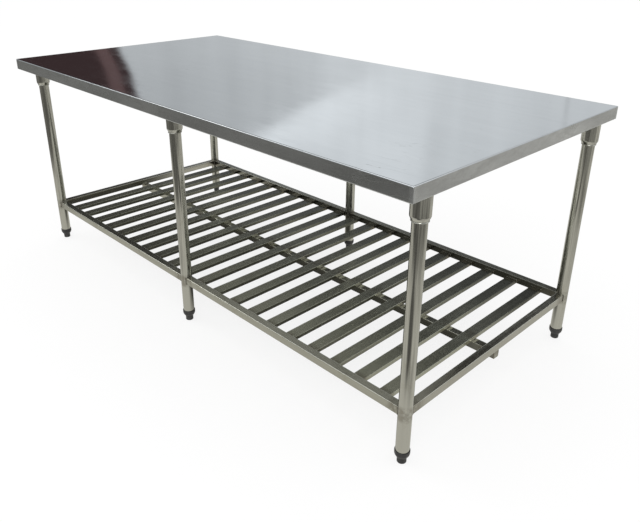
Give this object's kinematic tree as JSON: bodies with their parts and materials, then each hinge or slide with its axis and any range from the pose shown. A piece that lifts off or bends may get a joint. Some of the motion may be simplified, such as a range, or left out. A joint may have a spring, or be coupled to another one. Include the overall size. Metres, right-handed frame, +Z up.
{
  "type": "work table",
  "caption": "Stainless-steel work table: a flat top with turned-down edges on tubular legs with screw-adjustable feet, and a welded slatted undershelf.",
  "frame": {"origin": "on the floor under the middle of the top", "axes": "+X along the long edge to the right, +Y to the back, +Z up; the front edge faces -Y"},
  "size_m": [2, 1, 0.8],
  "materials": {
    "top_sheet_steel": "satin, fine lengthwise grain",
    "stiffener_steel": "mill",
    "tube_steel": "ground tube, satin",
    "shelf_steel": "ground tube, dull satin",
    "foot_plastic": "moulded, matte",
    "stud_zinc": "zinc plated, thread rolled"
  },
  "bodies": {
    "table": {"worktop": "top_sheet_steel", "stiffener_front": "stiffener_steel", "stiffener_back": "stiffener_steel", "leg_socket_front_left": "tube_steel", "leg_front_left": "tube_steel", "foot_insert_front_left": "foot_plastic", "leg_socket_front_middle": "tube_steel", "leg_front_middle": "tube_steel", "foot_insert_front_middle": "foot_plastic", "leg_socket_front_right": "tube_steel", "leg_front_right": "tube_steel", "foot_insert_front_right": "foot_plastic", "leg_socket_back_left": "tube_steel", "leg_back_left": "tube_steel", "foot_insert_back_left": "foot_plastic", "leg_socket_back_middle": "tube_steel", "leg_back_middle": "tube_steel", "foot_insert_back_middle": "foot_plastic", "leg_socket_back_right": "tube_steel", "leg_back_right": "tube_steel", "foot_insert_back_right": "foot_plastic", "shelf_rail_front_left": "shelf_steel", "shelf_rail_front_right": "shelf_steel", "shelf_rail_back_left": "shelf_steel", "shelf_rail_back_right": "shelf_steel", "shelf_rail_end_left": "shelf_steel", "shelf_rail_end_right": "shelf_steel", "shelf_centre_rail": "shelf_steel", "shelf_slat_01": "shelf_steel", "shelf_slat_02": "shelf_steel", "shelf_slat_03": "shelf_steel", "shelf_slat_04": "shelf_steel", "shelf_slat_05": "shelf_steel", "shelf_slat_06": "shelf_steel", "shelf_slat_07": "shelf_steel", "shelf_slat_08": "shelf_steel", "shelf_slat_09": "shelf_steel", "shelf_slat_10": "shelf_steel", "shelf_slat_11": "shelf_steel", "shelf_slat_12": "shelf_steel", "shelf_slat_13": "shelf_steel", "shelf_slat_14": "shelf_steel", "shelf_slat_15": "shelf_steel", "shelf_slat_16": "shelf_steel", "shelf_slat_17": "shelf_steel", "shelf_slat_18": "shelf_steel", "shelf_slat_19": "shelf_steel", "shelf_slat_20": "shelf_steel"},
    "stud_front_left": {"foot_stud_front_left": "stud_zinc"},
    "foot_front_left": {"foot_base_front_left": "foot_plastic"},
    "stud_front_middle": {"foot_stud_front_middle": "stud_zinc"},
    "foot_front_middle": {"foot_base_front_middle": "foot_plastic"},
    "stud_front_right": {"foot_stud_front_right": "stud_zinc"},
    "foot_front_right": {"foot_base_front_right": "foot_plastic"},
    "stud_back_left": {"foot_stud_back_left": "stud_zinc"},
    "foot_back_left": {"foot_base_back_left": "foot_plastic"},
    "stud_back_middle": {"foot_stud_back_middle": "stud_zinc"},
    "foot_back_middle": {"foot_base_back_middle": "foot_plastic"},
    "stud_back_right": {"foot_stud_back_right": "stud_zinc"},
    "foot_back_right": {"foot_base_back_right": "foot_plastic"}
  },
  "joints": [
    {"name": "foot_extend_front_left", "type": "slide", "parent": "table", "child": "stud_front_left", "axis": [0, 0, -1], "range_m": [0, 0.0175]},
    {"name": "foot_turn_front_left", "type": "hinge", "parent": "stud_front_left", "child": "foot_front_left", "pos_m": [-0.964, -0.419, 0.01], "axis": [0, 0, -1], "range_deg": [0, 3600]},
    {"name": "foot_extend_front_middle", "type": "slide", "parent": "table", "child": "stud_front_middle", "axis": [0, 0, -1], "range_m": [0, 0.0175]},
    {"name": "foot_turn_front_middle", "type": "hinge", "parent": "stud_front_middle", "child": "foot_front_middle", "pos_m": [0, -0.419, 0.01], "axis": [0, 0, -1], "range_deg": [0, 3600]},
    {"name": "foot_extend_front_right", "type": "slide", "parent": "table", "child": "stud_front_right", "axis": [0, 0, -1], "range_m": [0, 0.0175]},
    {"name": "foot_turn_front_right", "type": "hinge", "parent": "stud_front_right", "child": "foot_front_right", "pos_m": [0.964, -0.419, 0.01], "axis": [0, 0, -1], "range_deg": [0, 3600]},
    {"name": "foot_extend_back_left", "type": "slide", "parent": "table", "child": "stud_back_left", "axis": [0, 0, -1], "range_m": [0, 0.0175]},
    {"name": "foot_turn_back_left", "type": "hinge", "parent": "stud_back_left", "child": "foot_back_left", "pos_m": [-0.964, 0.419, 0.01], "axis": [0, 0, -1], "range_deg": [0, 3600]},
    {"name": "foot_extend_back_middle", "type": "slide", "parent": "table", "child": "stud_back_middle", "axis": [0, 0, -1], "range_m": [0, 0.0175]},
    {"name": "foot_turn_back_middle", "type": "hinge", "parent": "stud_back_middle", "child": "foot_back_middle", "pos_m": [0, 0.419, 0.01], "axis": [0, 0, -1], "range_deg": [0, 3600]},
    {"name": "foot_extend_back_right", "type": "slide", "parent": "table", "child": "stud_back_right", "axis": [0, 0, -1], "range_m": [0, 0.0175]},
    {"name": "foot_turn_back_right", "type": "hinge", "parent": "stud_back_right", "child": "foot_back_right", "pos_m": [0.964, 0.419, 0.01], "axis": [0, 0, -1], "range_deg": [0, 3600]}
  ],
  "couplings": [
    {"joint": "foot_turn_front_left", "follows": "foot_extend_front_left", "rad_per_m": 3590.4},
    {"joint": "foot_turn_front_middle", "follows": "foot_extend_front_middle", "rad_per_m": 3590.4},
    {"joint": "foot_turn_front_right", "follows": "foot_extend_front_right", "rad_per_m": 3590.4},
    {"joint": "foot_turn_back_left", "follows": "foot_extend_back_left", "rad_per_m": 3590.4},
    {"joint": "foot_turn_back_middle", "follows": "foot_extend_back_middle", "rad_per_m": 3590.4},
    {"joint": "foot_turn_back_right", "follows": "foot_extend_back_right", "rad_per_m": 3590.4}
  ]
}
